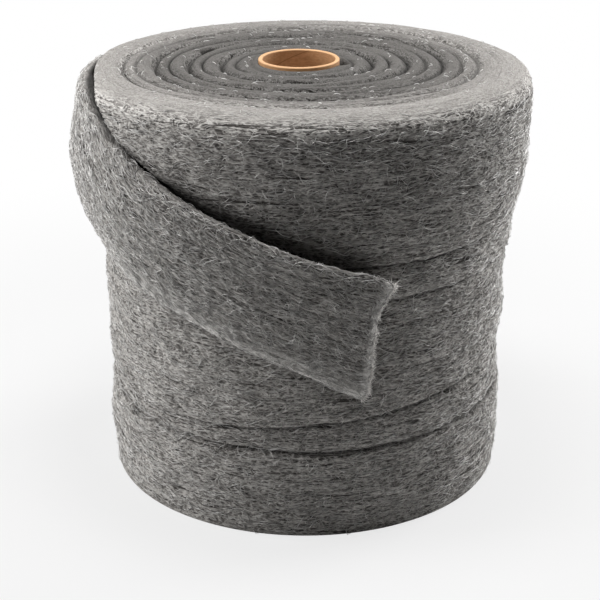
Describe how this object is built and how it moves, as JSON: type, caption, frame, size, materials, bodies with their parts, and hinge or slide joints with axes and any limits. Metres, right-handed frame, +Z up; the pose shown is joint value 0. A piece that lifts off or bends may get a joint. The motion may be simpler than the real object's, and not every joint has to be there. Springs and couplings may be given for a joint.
{
  "type": "steel wool reel",
  "caption": "Steel wool ribbon wound into a thick reel on a cardboard core tube, standing on end with the ribbon's free end hanging across the front.",
  "frame": {"origin": "on the core's axis, on the surface that the reel stands on", "axes": "+Z up along the core, -Y toward the front, where the ribbon's free end hangs, +X to the right of someone facing the front"},
  "size_m": [0.3802, 0.3866, 0.3563],
  "materials": {
    "cardboard": "matt brown board with a paler paper face",
    "steel_wool": "grey fibrous steel wool, softly glinting"
  },
  "bodies": {
    "root": {"core_tube": "cardboard", "steel_wool_ribbon": "steel_wool"}
  },
  "joints": []
}
